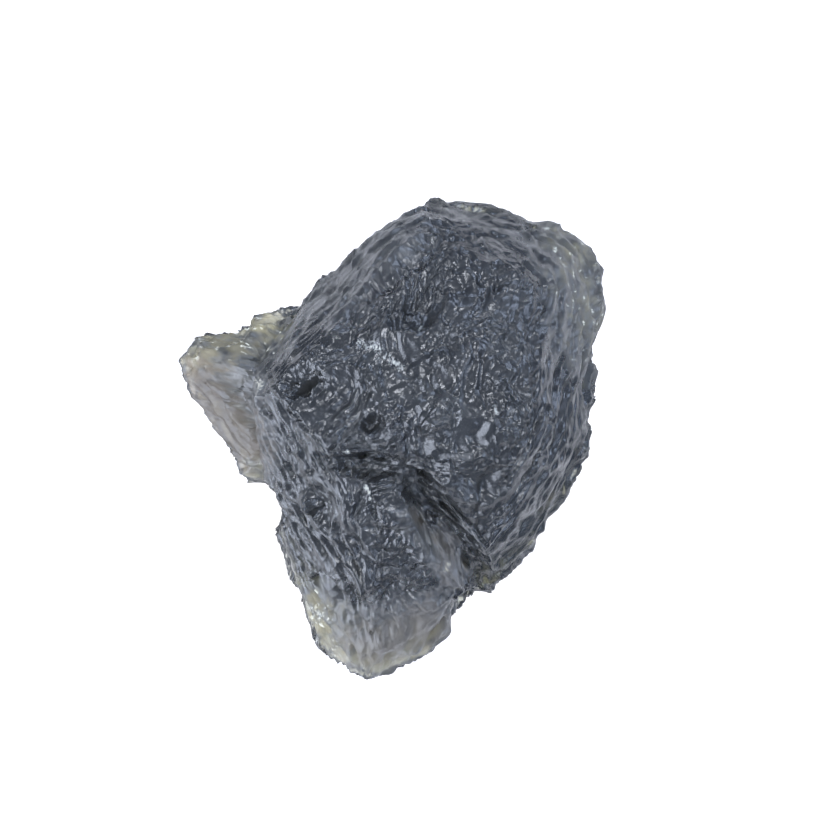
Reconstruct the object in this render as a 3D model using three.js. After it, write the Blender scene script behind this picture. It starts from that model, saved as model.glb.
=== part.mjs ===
/**
 * A moldavite: one chunky splinter of natural bottle-green glass, pitted and grooved all over.
 *
 * It is one solid. Millimetres, +Z up. The stone lies on a small worn flat at Z = 0, with its
 * broad pitted face upwards, its thin wing to -X and its narrow lobe to -Y.
 *
 * Its form is the union of three blocks (body, wing and ledge). Each block is cut like a rough gem:
 * a rim of corners with a slope above and a slope below every edge, and a few flats on top.
 * Hollows are then scooped out, and pits and ledges roughen the skin.
 */
import * as THREE from "three";
import { mergeVertices } from "three/addons/utils/BufferGeometryUtils.js";

// The heart is a point deep inside all three blocks. Every bit of the skin can be seen from it.
const HEART = new THREE.Vector3(0, 0, 4.3);

// How many cells run along one side of the six-sided grid that is wrapped round the heart.
const CELLS = 28;
const EVENING_ROUNDS = 110;
const SLIVER_PENALTY = 0.25;

// The higher this is, the sharper the arrises where two slopes meet.
const ARRIS_SHARPNESS = 170;

// The rim wanders up and down in long waves with shorter ones on top: how far for each mm out
// from the heart, and how many waves there are to the ball.
const RIM_WANDER = 0.055;
const RIM_WAVES = 2.6;
const RIM_QUIVER = 0.022;
const RIM_QUIVERS = 7.0;

// Rim corners, clockwise seen from above: X, Y, Z in mm.
// Then the slope of the edge that starts there, above and below the rim, in degrees from level.
const BODY_RIM = [
  [-9.0, 3.4, 3.4, 84, 52],
  [-8.3, -1.8, 3.0, 79, 50],
  [-5.8, -10.1, 2.5, 70, 44],
  [-4.6, -13.0, 2.3, 56, 36],
  [-3.0, -14.5, 2.4, 52, 34],
  [-1.6, -15.1, 2.9, 52, 34],
  [0.6, -14.5, 3.1, 58, 36],
  [3.4, -12.5, 3.5, 62, 40],
  [7.0, -9.1, 4.2, 64, 46],
  [8.2, -7.6, 4.3, 62, 48],
  [9.7, -6.0, 4.4, 62, 50],
  [10.8, -4.0, 4.6, 62, 50],
  [12.5, -0.9, 5.0, 64, 52],
  [13.0, 3.3, 5.4, 67, 55],
  [13.3, 7.7, 6.4, 60, 50],
  [13.2, 9.6, 6.8, 58, 44],
  [12.8, 11.3, 7.0, 56, 42],
  [12.2, 12.3, 7.2, 56, 42],
  [10.1, 13.7, 7.2, 58, 44],
  [6.9, 14.65, 7.2, 62, 48],
  [1.6, 15.3, 7.6, 60, 46],
  [-1.0, 13.9, 7.6, 60, 44],
  [-3.2, 11.7, 7.2, 70, 44],
  [-5.8, 8.5, 6.4, 78, 50],
  [-8.3, 5.7, 5.0, 83, 55],
];

const WING_RIM = [
  [-13.4, 5.1, 4.6, 55, 35],
  [-11.8, 7.3, 4.8, 40, 35],
  [-5.6, 8.7, 5.6, 85, 85],
  [1.8, 7.1, 6.0, 85, 85],
  [5.5, -2.9, 6.0, 85, 85],
  [-8.2, -2.6, 3.4, 45, 40],
  [-9.5, -2.1, 3.4, 48, 35],
  [-10.8, 0.1, 3.8, 46, 35],
  [-12.7, 3.2, 4.4, 46, 35],
];

const LEDGE_RIM = [
  [-6.6, -3.7, 2.2, 60, 50],
  [-7.35, -5.8, 2.0, 55, 45],
  [-6.1, -9.3, 2.0, 70, 45],
  [3.0, -3.4, 2.5, 85, 60],
  [3.0, 3.3, 3.0, 85, 60],
  [-3.9, 2.7, 3.0, 85, 60],
];

// Flats: a point on the flat (X, Y, Z in mm), its slope from level and the way it falls, in degrees.
// A slope over 90 faces down.
const BODY_FLATS = [
  [3.6, 2.7, 14.0, 4, -20],
  [-3.7, 2.7, 12.2, 11, 190],
  [-2.5, 9.4, 11.6, 22, 128],
  [10.8, 9.4, 11.2, 33, 20],
  [7.4, -4.3, 12.7, 22, -35],
  [5.4, 11.8, 12.5, 17, 85],
  [0.3, -1.6, 12.0, 22, -108],
  [-0.4, -12.3, 6.0, 33, -85],
  [-2.9, -3.6, 10.8, 50, 216],
  [6.0, 2.1, 0.0, 156, 20],
  [-0.1, 6.9, 0.0, 161, 110],
  [-3.6, 0.2, 0.0, 157, 200],
  [2.1, -4.3, 0.0, 164, 285],
];

const WING_FLATS = [
  [-10.4, 5.1, 6.3, 9, 115],
  [-10.4, 5.1, 6.3, 13, 222],
  [-10.3, 4.0, 2.5, 174, 180],
];

const LEDGE_FLATS = [[-5.8, -6.4, 3.6, 24, 195]];

// Hollows: where the middle is (X, Y, Z in mm), the three half-sizes (mm), the way the long one
// points (degrees round from +X), how far it tilts up (degrees) and how deep the hollow goes (mm).
const HOLLOWS = {
  valley: [3.3, -5.2, 9.1, 6.3, 1.6, 3.4, -58, -31, 2.0],
  valleyHead: [-1.2, -1.5, 12.0, 3.0, 1.0, 2.2, -10, 4, 1.0],
  notchByLobe: [4.9, -10.4, 3.9, 1.7, 1.4, 4.6, 45, 0, 1.05],
  notchByWing: [-7.8, -4.1, 3.2, 1.7, 1.6, 3.6, 0, 0, 1.0],
  cornerPit: [-5.3, 3.5, 11.7, 1.45, 0.65, 1.5, 28, 8, 1.0],
  wingBite: [-10.6, 7.4, 5.4, 2.0, 1.6, 3.0, 14, 0, 1.2],
  rightStep: [13.4, 5.8, 6.2, 1.2, 1.5, 3.0, 0, 0, 0.75],
  rightNick: [12.7, 1.8, 5.4, 1.0, 1.0, 2.6, 0, 0, 0.35],
  wallDent: [-4.0, -4.0, 8.6, 2.1, 0.85, 1.4, -60, -14, 0.55],
  topBay: [8.8, 14.3, 7.2, 1.9, 1.3, 3.0, -20, 0, 0.4],
  fanPit: [2.1, 8.3, 13.0, 1.7, 1.3, 2.0, 60, 0, 0.8],
  roundPit: [-1.1, 1.1, 12.7, 0.85, 0.8, 1.2, 0, 0, 0.6],
};

// Skin: pits on the broad faces, and long ledges that run round the steep walls.
const PIT_SIZE = 2.2;
const PIT_DEPTH = 0.55;
const LEDGE_HEIGHT = 1.6;
const LEDGE_STRETCH = 3.2;
const LEDGE_DEPTH = 0.42;
const LEDGE_TILT = 0.22; // ledges climb this much for each mm towards -Y
const WALL_RADIUS = 9.0;
const SWIRL_SIZE = 3.1;
const SWIRL_REACH = 0.7;
const CURL_SIZE = 1.1;
const CURL_REACH = 0.22;
const WING_EDGE_X = -8.6; // past this line the skin belongs to the wing
const FOOT_RADIUS = 4.0; // the worn flat underneath
const FOOT_FADE = 1.5;
const FOOT_STRETCH = 1.15;
const FOOT_PRESS = 0.12;

const GLASS = { color: 0x51594f, roughness: 0.22, metalness: 0.0 };

const radians = THREE.MathUtils.degToRad;

/** Goes smoothly from 0 at a to 1 at b. */
function ease(a, b, value) {
  const t = THREE.MathUtils.clamp((value - a) / (b - a), 0, 1);
  return t * t * (3 - 2 * t);
}

/** A slope as a plane: its outward normal, and how far it lies from the heart along that normal. */
function planeThrough(point, normal) {
  const distance = normal.dot(point.clone().sub(HEART));
  if (distance <= 0) throw new Error("a slope leaves the heart outside the stone");
  return { normal, distance };
}

/** The two slopes, above and below, that meet along one edge of a rim. */
function edgeSlopes(from, to, middle) {
  const start = new THREE.Vector3(from[0], from[1], from[2]);
  const along = new THREE.Vector3(to[0], to[1], to[2]).sub(start);
  const outward = new THREE.Vector3(-along.y, along.x, 0).normalize();
  if (outward.dot(start.clone().sub(middle)) < 0) outward.negate();
  const slopes = [
    { angle: radians(from[3]), lift: 1 },
    { angle: radians(from[4]), lift: -1 },
  ];
  return slopes.map(({ angle, lift }) => {
    const inward = outward.clone().multiplyScalar(-Math.cos(angle));
    inward.z = lift * Math.sin(angle);
    const normal = along.clone().cross(inward).normalize();
    if (normal.dot(outward) < 0) normal.negate();
    return planeThrough(start, normal);
  });
}

/** A flat as a plane. */
function flatPlane([x, y, z, slope, falls]) {
  const tip = radians(slope);
  const turn = radians(falls);
  const normal = new THREE.Vector3(
    Math.sin(tip) * Math.cos(turn),
    Math.sin(tip) * Math.sin(turn),
    Math.cos(tip),
  );
  return planeThrough(new THREE.Vector3(x, y, z), normal);
}

/** All the planes of one block. */
function block(rim, flats) {
  const middle = new THREE.Vector3();
  for (const corner of rim) {
    middle.add(new THREE.Vector3(corner[0], corner[1], corner[2]));
  }
  middle.divideScalar(rim.length);
  const edges = rim.flatMap((corner, i) => edgeSlopes(corner, rim[(i + 1) % rim.length], middle));
  return [...edges, ...flats.map(flatPlane)];
}

const BLOCKS = [
  block(BODY_RIM, BODY_FLATS),
  block(WING_RIM, WING_FLATS),
  block(LEDGE_RIM, LEDGE_FLATS),
];

/** How far one block's skin is from the heart in a direction, with its arrises a little eased. */
function blockReach(direction, planes) {
  const nearness = planes.map(({ normal, distance }) => normal.dot(direction) / distance);
  const most = Math.max(...nearness);
  let sum = 0;
  for (const value of nearness) {
    sum += Math.exp((value / most - 1) * ARRIS_SHARPNESS);
  }
  return 1 / (most * (1 + Math.log(sum) / ARRIS_SHARPNESS));
}

/** A hollow as a middle point, three scaled axes and a depth. */
function hollow([x, y, z, long, wide, deep, turn, tilt, depth]) {
  const a = radians(turn);
  const k = radians(tilt);
  const longAxis = new THREE.Vector3(
    Math.cos(a) * Math.cos(k),
    Math.sin(a) * Math.cos(k),
    Math.sin(k),
  );
  const wideAxis = new THREE.Vector3(-Math.sin(a), Math.cos(a), 0);
  const deepAxis = longAxis.clone().cross(wideAxis);
  const axes = [
    longAxis.divideScalar(long),
    wideAxis.divideScalar(wide),
    deepAxis.divideScalar(deep),
  ];
  return { middle: new THREE.Vector3(x, y, z), axes, depth };
}

const HOLLOW_LIST = Object.values(HOLLOWS).map(hollow);

/** How much is scooped away at a point of the skin, in mm. */
function scooped(point) {
  let most = 0;
  for (const { middle, axes, depth } of HOLLOW_LIST) {
    const offset = point.clone().sub(middle);
    let square = 0;
    for (const axis of axes) {
      square += axis.dot(offset) ** 2;
    }
    most = Math.max(most, depth * Math.max(0, 1 - square));
  }
  return most;
}

/** A direction tipped a little up or down, so that no rim runs straight and level. */
function wander({ x, y, z }) {
  const long = wave(x * RIM_WAVES, y * RIM_WAVES, z * RIM_WAVES, 5);
  const short = wave(x * RIM_QUIVERS, y * RIM_QUIVERS, z * RIM_QUIVERS, 6);
  return new THREE.Vector3(x, y, z + RIM_WANDER * long + RIM_QUIVER * short).normalize();
}

/** The skin in a direction from the heart: the point, and how much was scooped away to get there. */
function skin(direction) {
  const tipped = wander(direction);
  const toFloor = direction.z < 0 ? -HEART.z / direction.z : Infinity;
  const reach = Math.min(
    toFloor,
    Math.max(...BLOCKS.map((planes) => blockReach(tipped, planes))),
  );
  const dug = scooped(HEART.clone().addScaledVector(direction, reach));
  return { point: HEART.clone().addScaledVector(direction, reach - dug), dug };
}

/** A repeatable number from 0 to 1 for a cell of a 3-D lattice. */
function cellNumber(i, j, k, salt) {
  let h = Math.imul(i, 374761393) ^ Math.imul(j, 668265263);
  h ^= Math.imul(k, 2246822519) ^ Math.imul(salt, 2654435761);
  h ^= h >>> 15;
  h = Math.imul(h, 2246822519);
  h ^= h >>> 13;
  h = Math.imul(h, 3266489917);
  h ^= h >>> 16;
  return (h >>> 0) / 4294967296;
}

/** Smooth waves from -1 to 1, about one lattice cell long. */
function wave(x, y, z, salt) {
  const cell = [x, y, z].map(Math.floor);
  const part = [x, y, z].map((value, axis) => {
    const t = value - cell[axis];
    return t * t * (3 - 2 * t);
  });
  let sum = 0;
  for (let corner = 0; corner < 8; corner += 1) {
    const step = [corner & 1, (corner >> 1) & 1, corner >> 2];
    const weight = step.reduce((w, on, axis) => w * (on ? part[axis] : 1 - part[axis]), 1);
    sum += weight * cellNumber(cell[0] + step[0], cell[1] + step[1], cell[2] + step[2], salt);
  }
  return sum * 2 - 1;
}

/** Bowls side by side: 0 at the bottom of a bowl, rising to about 1 on the crests between them. */
function bowls(x, y, z, salt) {
  const cell = [x, y, z].map(Math.floor);
  let least = 1;
  for (let n = 0; n < 27; n += 1) {
    const i = cell[0] + (n % 3) - 1;
    const j = cell[1] + (Math.floor(n / 3) % 3) - 1;
    const k = cell[2] + Math.floor(n / 9) - 1;
    const dx = i + cellNumber(i, j, k, salt) - x;
    const dy = j + cellNumber(i, j, k, salt + 1) - y;
    const dz = k + cellNumber(i, j, k, salt + 2) - z;
    const width = 0.75 + 0.7 * cellNumber(i, j, k, salt + 3);
    least = Math.min(least, (dx * dx + dy * dy + dz * dz) * width);
  }
  return least;
}

/** A point nudged by smooth waves of one size. The three salts follow each other. */
function nudge(point, size, salt) {
  const { x, y, z } = point.clone().divideScalar(size);
  return new THREE.Vector3(wave(x, y, z, salt), wave(x, y, z, salt + 1), wave(x, y, z, salt + 2));
}

/** How far the skin stands out (or in, when negative) at a point, in mm along its normal. */
function relief(point, normal, dug) {
  const bent = point
    .clone()
    .addScaledVector(nudge(point, SWIRL_SIZE, 11), SWIRL_REACH)
    .addScaledVector(nudge(point, CURL_SIZE, 21), CURL_REACH);

  // Broad faces are pitted. Steep walls carry ledges that run round the stone.
  const up = ease(0.55, 0.8, normal.z);
  const down = ease(-0.3, -0.6, normal.z);
  const wall = 1 - Math.max(up, down);
  const pit = bowls(bent.x / PIT_SIZE, bent.y / PIT_SIZE, bent.z / PIT_SIZE, 31) - 0.4;
  const turn = Math.atan2(bent.y - HEART.y, bent.x - HEART.x);
  const round = WALL_RADIUS / (LEDGE_HEIGHT * LEDGE_STRETCH);
  const level = (bent.z + LEDGE_TILT * bent.y) / LEDGE_HEIGHT;
  const ledge = bowls(Math.cos(turn) * round, Math.sin(turn) * round, level, 41) - 0.45;
  const open = 1 - ease(0.02, 0.4, dug);
  const rough = (up * open + down) * PIT_DEPTH * pit + wall * LEDGE_DEPTH * ledge;

  // The wing, the smooth bevel at its shoulder and the worn foot are calmer.
  const wing = ease(WING_EDGE_X, WING_EDGE_X - 1, point.x);
  const bevelSide = ease(0.35, 0.6, 0.6 * normal.y - 0.7 * normal.x);
  const bevel = normal.z > 0 ? bevelSide * (1 - wing) : 0;
  const fromMiddle = Math.hypot(point.x, point.y / FOOT_STRETCH);
  const foot = ease(FOOT_RADIUS + FOOT_FADE, FOOT_RADIUS, fromMiddle) * down;
  return rough * (1 - 0.6 * wing) * (1 - 0.7 * bevel) * (1 - 0.8 * foot) + foot * FOOT_PRESS;
}

/** A closed grid of directions: a box of cells blown up to a ball. */
function ballGrid() {
  const box = new THREE.BoxGeometry(2, 2, 2, CELLS, CELLS, CELLS);
  box.deleteAttribute("normal");
  box.deleteAttribute("uv");
  const grid = mergeVertices(box, 1e-5);
  const at = grid.getAttribute("position");
  const corner = new THREE.Vector3();
  for (let i = 0; i < at.count; i += 1) {
    corner.fromBufferAttribute(at, i);
    for (const axis of ["x", "y", "z"]) {
      corner[axis] = Math.tan((corner[axis] * Math.PI) / 4);
    }
    corner.normalize();
    at.setXYZ(i, corner.x, corner.y, corner.z);
  }
  return grid;
}

/** For each vertex, the vertices one cell side away. */
function neighbours(grid) {
  const index = grid.index.array;
  const sets = Array.from({ length: grid.getAttribute("position").count }, () => new Set());
  for (let cell = 0; cell < index.length; cell += 6) {
    const [a, b, d, , c] = index.slice(cell, cell + 5);
    for (const [from, to] of [
      [a, b],
      [b, c],
      [c, d],
      [d, a],
    ]) {
      sets[from].add(to);
      sets[to].add(from);
    }
  }
  return sets.map((set) => [...set]);
}

/** Lays the grid on the skin, and slides its vertices about until they are evenly spread. */
function layOnSkin(grid) {
  const at = grid.getAttribute("position");
  const near = neighbours(grid);
  const directions = near.map((_, i) => new THREE.Vector3().fromBufferAttribute(at, i));
  let points = directions.map((direction) => skin(direction));
  for (let round = 0; round < EVENING_ROUNDS; round += 1) {
    points.forEach(({ point }, i) => {
      const middle = new THREE.Vector3();
      for (const other of near[i]) {
        middle.add(points[other].point);
      }
      middle.divideScalar(near[i].length);
      directions[i].copy(point).lerp(middle, 0.5).sub(HEART).normalize();
    });
    points = directions.map((direction) => skin(direction));
  }
  points.forEach(({ point }, i) => at.setXYZ(i, point.x, point.y, point.z));
  return { directions, points };
}

/**
 * Splits each cell along the diagonal that stands out further, so that arrises run clean.
 * A much longer diagonal counts as lying further in, so that no sliver is made.
 */
function splitCells(grid, corners) {
  const index = grid.index.array;
  const standsOut = (from, to) => {
    const middle = corners[from].clone().lerp(corners[to], 0.5);
    return middle.distanceTo(HEART) - SLIVER_PENALTY * corners[from].distanceTo(corners[to]);
  };
  for (let cell = 0; cell < index.length; cell += 6) {
    const [a, b, d, , c] = index.slice(cell, cell + 5);
    const split = standsOut(a, c) > standsOut(b, d) ? [a, b, c, a, c, d] : [a, b, d, b, c, d];
    index.set(split, cell);
  }
}

/** The whole stone as one closed solid, centred over the origin with its foot at Z = 0. */
function stoneGeometry() {
  const grid = ballGrid();
  const { directions, points } = layOnSkin(grid);
  grid.computeVertexNormals();
  const normals = grid.getAttribute("normal");
  const normal = new THREE.Vector3();
  const corners = points.map(({ point, dug }, i) => {
    normal.fromBufferAttribute(normals, i);
    const facing = Math.max(normal.dot(directions[i]), 0.25);
    const out = relief(point, normal, dug) / facing;
    const corner = point.clone().addScaledVector(directions[i], out);
    corner.z = Math.max(corner.z, 0);
    return corner;
  });
  splitCells(grid, corners);
  const at = grid.getAttribute("position");
  corners.forEach(({ x, y, z }, i) => at.setXYZ(i, x, y, z));
  grid.computeBoundingBox();
  const { min, max } = grid.boundingBox;
  grid.translate(-(min.x + max.x) / 2, -(min.y + max.y) / 2, -min.z);
  grid.computeVertexNormals();
  return grid;
}

const moldavite = new THREE.Mesh(stoneGeometry(), new THREE.MeshStandardMaterial(GLASS));
moldavite.name = "moldavite";

const stone = new THREE.Group();
stone.name = "stone";
stone.add(moldavite);

export default stone;
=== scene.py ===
"""A rough moldavite: bottle-green natural glass, pitted, grooved and see-through where thin.

Lengths in the tables are millimetres in the part's own frame, with +Z up. Meshes are in metres.
"""

import logging
import math
from dataclasses import dataclass, field
from enum import Enum

import bpy
import numpy as np
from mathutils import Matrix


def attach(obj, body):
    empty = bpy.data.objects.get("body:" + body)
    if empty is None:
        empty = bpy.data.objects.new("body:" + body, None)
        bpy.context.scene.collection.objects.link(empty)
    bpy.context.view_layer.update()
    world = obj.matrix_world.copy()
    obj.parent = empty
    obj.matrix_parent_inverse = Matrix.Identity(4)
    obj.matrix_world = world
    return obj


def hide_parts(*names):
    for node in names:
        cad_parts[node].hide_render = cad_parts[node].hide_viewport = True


LOG = logging.getLogger("moldavite")
MM = 0.001
STREAK_GAIN = 0.85
Array = np.ndarray

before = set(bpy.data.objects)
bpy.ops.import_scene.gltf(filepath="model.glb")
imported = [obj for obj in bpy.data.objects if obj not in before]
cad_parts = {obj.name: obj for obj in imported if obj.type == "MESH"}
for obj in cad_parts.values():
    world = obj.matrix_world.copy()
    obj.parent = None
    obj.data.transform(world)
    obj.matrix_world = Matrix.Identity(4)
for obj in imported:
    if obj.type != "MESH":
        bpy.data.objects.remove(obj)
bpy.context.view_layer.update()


class Layer(Enum):
    """Values kept at each vertex of the stone, for its material."""

    GRAIN = "grain"
    FLOW = "flow"
    # Pale chips and worn spots, and also painted glints.
    CHIP_AND_GLINT = "chip_and_glint"
    SOIL = "soil"
    # Frost, partly painted light shining through thin parts from below.
    FROST_AND_BACKLIGHT = "frost_and_backlight"
    ETCH = "etch"


def ease(low: float, high: float, value: Array) -> Array:
    """Goes smoothly from 0 to 1: 3t² - 2t³, with t running from 0 at low to 1 at high.

    Args:
        low: where it leaves 0.
        high: where it reaches 1. It may be less than low.
        value: the numbers to ease.

    Returns:
        Numbers from 0 to 1.
    """
    t = np.clip((value - low) / (high - low), 0.0, 1.0)
    return t * t * (3.0 - 2.0 * t)


def cell_number(cells: Array, salt: int) -> Array:
    """A repeatable number for each cell of a 3-D lattice: its three counts mixed by a hash.

    Args:
        cells: whole-number lattice positions, N by 3.
        salt: a number that gives another, unrelated set.

    Returns:
        N numbers from 0 to 1.
    """
    at = cells.astype(np.int64).astype(np.uint32)
    h = at[:, 0] * np.uint32(374761393) ^ at[:, 1] * np.uint32(668265263)
    h ^= at[:, 2] * np.uint32(2246822519) ^ np.uint32(salt * 2654435761 & 0xFFFFFFFF)
    h ^= h >> np.uint32(15)
    h *= np.uint32(2246822519)
    h ^= h >> np.uint32(13)
    h *= np.uint32(3266489917)
    h ^= h >> np.uint32(16)
    return h / 4294967296.0


def wave(points: Array, salt: int) -> Array:
    """Smooth waves, about one lattice cell long: cell numbers blended by eased weights.

    Args:
        points: N by 3, in lattice cells.
        salt: which set of waves.

    Returns:
        N numbers from -1 to 1.
    """
    cell = np.floor(points)
    part = points - cell
    part = part * part * (3.0 - 2.0 * part)
    total = np.zeros(len(points))
    for step in np.ndindex(2, 2, 2):
        side = np.array(step)
        weight = np.prod(np.where(side, part, 1.0 - part), axis=1)
        total += weight * cell_number(cell + side, salt)
    return total * 2.0 - 1.0


def nudge(points: Array, size: float, salt: int) -> Array:
    """Three sets of waves as an N by 3 push, for waves of one size in mm."""
    return np.stack([wave(points / size, salt + k) for k in range(3)], axis=1)


def bowls(
    points: Array, salt: int, flow: Array | None = None, stretch: float = 1.0
) -> tuple[Array, Array, Array]:
    """Bowls side by side: the least, over the nearby bowl centres, of distance² times a width.

    Args:
        points: N by 3, in bowl widths.
        salt: which set of bowls.
        flow: N unit vectors that the bowls are drawn out along, or None.
        stretch: how many times longer than wide they are.

    Returns:
        The height (0 at the bottom, about 1 on the crests), the way from the nearest bowl's
        centre (N by 3), and a number from 0 to 1 that belongs to that bowl.
    """
    cell = np.floor(points)
    height = np.full(len(points), 9.0)
    way = np.zeros_like(points)
    mark = np.zeros(len(points))
    for step in np.ndindex(3, 3, 3):
        at = cell + np.array(step) - 1.0
        centre = at + np.stack([cell_number(at, salt + k) for k in range(3)], axis=1)
        number = cell_number(at, salt + 3)
        offset = points - centre
        reach = (offset * offset).sum(axis=1)
        if flow is not None:
            reach -= (1.0 - stretch**-2) * (offset * flow).sum(axis=1) ** 2
            reach *= stretch
        reach *= 0.75 + 0.7 * number
        nearer = reach < height
        height = np.where(nearer, reach, height)
        way = np.where(nearer[:, None], offset, way)
        mark = np.where(nearer, number, mark)
    return np.minimum(height, 1.0), way, mark


def streaks(points: Array, flow: Array, size: float, length: float, salt: int) -> Array:
    """Long waves that follow the flow: the sum of plain waves at places half a wave apart.

    It is divided by the square root of their number, which keeps its usual size the same.

    Args:
        points: N by 3, in mm.
        flow: N unit vectors along the streaks.
        size: the width of a plain wave in mm.
        length: how far the places reach each way, in mm.
        salt: which set of waves.

    Returns:
        N numbers, mostly from -1 to 1.
    """
    places = np.linspace(-length, length, 2 * round(2 * length / size) + 1)
    total = sum(wave((points + flow * place) / size, salt) for place in places)
    return total / math.sqrt(len(places)) * STREAK_GAIN


@dataclass(frozen=True)
class Corner:
    """A corner of a rim, and the slopes of the edge that starts there, above and below it."""

    x: float
    y: float
    z: float
    above: float
    below: float


@dataclass(frozen=True)
class Flat:
    """A flat: a point on it, its slope from level and the way it falls, in degrees."""

    x: float
    y: float
    z: float
    slope: float
    falls: float


@dataclass(frozen=True)
class Hollow:
    """A scooped hollow: its middle, three half-sizes, how it points and tilts, and its depth."""

    x: float
    y: float
    z: float
    long: float
    wide: float
    deep: float
    turn: float
    tilt: float
    depth: float

    def depth_at(self, points: Array) -> Array:
        """The depth at points: depth × (1 - s²), with s the distance in half-sizes.

        Args:
            points: N by 3, in mm.

        Returns:
            N depths in mm, 0 outside the hollow.
        """
        a, k = math.radians(self.turn), math.radians(self.tilt)
        long_axis = np.array([math.cos(a) * math.cos(k), math.sin(a) * math.cos(k), math.sin(k)])
        wide_axis = np.array([-math.sin(a), math.cos(a), 0.0])
        deep_axis = np.cross(long_axis, wide_axis)
        axes = np.stack([long_axis / self.long, wide_axis / self.wide, deep_axis / self.deep])
        offset = (points - np.array([self.x, self.y, self.z])) @ axes.T
        return self.depth * np.maximum(0.0, 1.0 - (offset * offset).sum(axis=1))


@dataclass(frozen=True)
class Block:
    """One block of the stone, cut like a rough gem: a rim of corners, slopes and flats."""

    rim: tuple[Corner, ...]
    flats: tuple[Flat, ...]

    def planes(self, heart: Array) -> tuple[Array, Array]:
        """Each edge carries two planes, one above and one below. Each flat is one plane.

        Args:
            heart: the point inside the block that distances are measured from.

        Returns:
            Outward unit normals (P by 3) and distances from the heart (P).
        """
        corners = np.array([[c.x, c.y, c.z] for c in self.rim])
        along = np.roll(corners, -1, axis=0) - corners
        outward = np.stack([-along[:, 1], along[:, 0], np.zeros(len(along))], axis=1)
        outward /= np.linalg.norm(outward, axis=1, keepdims=True)
        turned = ((corners - corners.mean(axis=0)) * outward).sum(axis=1) < 0
        outward[turned] *= -1
        normals, anchors = [], []
        for lift, slopes in ((1, [c.above for c in self.rim]), (-1, [c.below for c in self.rim])):
            angle = np.radians(slopes)
            inward = -outward * np.cos(angle)[:, None]
            inward[:, 2] = lift * np.sin(angle)
            normal = np.cross(along, inward)
            normal /= np.linalg.norm(normal, axis=1, keepdims=True)
            normal[(normal * outward).sum(axis=1) < 0] *= -1
            normals.append(normal)
            anchors.append(corners)
        tip = np.radians([f.slope for f in self.flats])
        turn = np.radians([f.falls for f in self.flats])
        tipped = [np.sin(tip) * np.cos(turn), np.sin(tip) * np.sin(turn), np.cos(tip)]
        normals.append(np.stack(tipped, axis=1))
        anchors.append(np.array([[f.x, f.y, f.z] for f in self.flats]))
        normal = np.concatenate(normals)
        return normal, (normal * (np.concatenate(anchors) - heart)).sum(axis=1)


@dataclass(frozen=True)
class BallGrid:
    """A closed grid of directions: six square grids, bulged onto a ball and joined at the edges.

    Two parameters run over each square from -45° to 45°. Their tangents are the position on a
    cube's side, and each point is then drawn in to the unit ball.
    """

    cells: int

    def _sides(self) -> Array:
        """The six sides before they are joined, 6 by (cells + 1) by (cells + 1) by 3."""
        t = np.tan(np.linspace(-math.pi / 4, math.pi / 4, self.cells + 1))
        u, v = np.meshgrid(t, t, indexing="ij")
        w = np.ones_like(u)
        sides = [(w, u, v), (-w, v, u), (v, w, u), (u, -w, v), (u, v, w), (v, u, -w)]
        at = np.stack([np.stack(side, axis=-1) for side in sides])
        return at / np.linalg.norm(at, axis=-1, keepdims=True)

    def build(self) -> tuple[Array, Array, Array]:
        """Joins the sides.

        Returns:
            Directions (N by 3), the cells as four vertex numbers each (M by 4), and the vertex
            number at each place of the six sides.
        """
        at = self._sides().reshape(-1, 3)
        _, first, joined = np.unique(at.round(6), axis=0, return_index=True, return_inverse=True)
        n = self.cells + 1
        place = joined.reshape(6, n, n)
        quads = np.stack(
            [place[:, :-1, :-1], place[:, 1:, :-1], place[:, 1:, 1:], place[:, :-1, 1:]], axis=-1
        )
        return at[first], quads.reshape(-1, 4), place

    def carry(self, points: Array, place: Array, finer: "BallGrid") -> tuple[Array, Array]:
        """Spreads points of this grid over a finer one, in straight lines between neighbours.

        Args:
            points: one point for each vertex of this grid.
            place: the third thing that build() returned for this grid.
            finer: the grid to fill.

        Returns:
            One point for each vertex of the finer grid, and its cells.
        """
        spots = np.linspace(0, self.cells, finer.cells + 1)
        low = np.minimum(spots.astype(int), self.cells - 1)
        part = spots - low
        sides = points[place]
        down = part[None, :, None, None]
        rows = sides[:, low] * (1 - down) + sides[:, low + 1] * down
        across = part[None, None, :, None]
        full = rows[:, :, low] * (1 - across) + rows[:, :, low + 1] * across
        base, quads, fine_place = finer.build()
        spread = np.empty_like(base)
        spread[fine_place.reshape(-1)] = full.reshape(-1, 3)
        return spread, quads


def side_pairs(quads: Array) -> Array:
    """The different pairs of vertices that share a side of a cell, E by 2."""
    sides = np.concatenate([quads[:, [k, (k + 1) % 4]] for k in range(4)])
    return np.unique(np.sort(sides, axis=1), axis=0)


def vertex_normals(points: Array, quads: Array) -> Array:
    """Unit normals: for each vertex, the sum of its cells' crossed diagonals.

    Args:
        points: N by 3.
        quads: M by 4.

    Returns:
        N unit normals.
    """
    crossed = np.cross(
        points[quads[:, 2]] - points[quads[:, 0]], points[quads[:, 3]] - points[quads[:, 1]]
    )
    total = np.zeros_like(points)
    for k in range(4):
        for axis in range(3):
            total[:, axis] += np.bincount(quads[:, k], crossed[:, axis], len(points))
    return total / (np.linalg.norm(total, axis=1, keepdims=True) + 1e-12)


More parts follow.
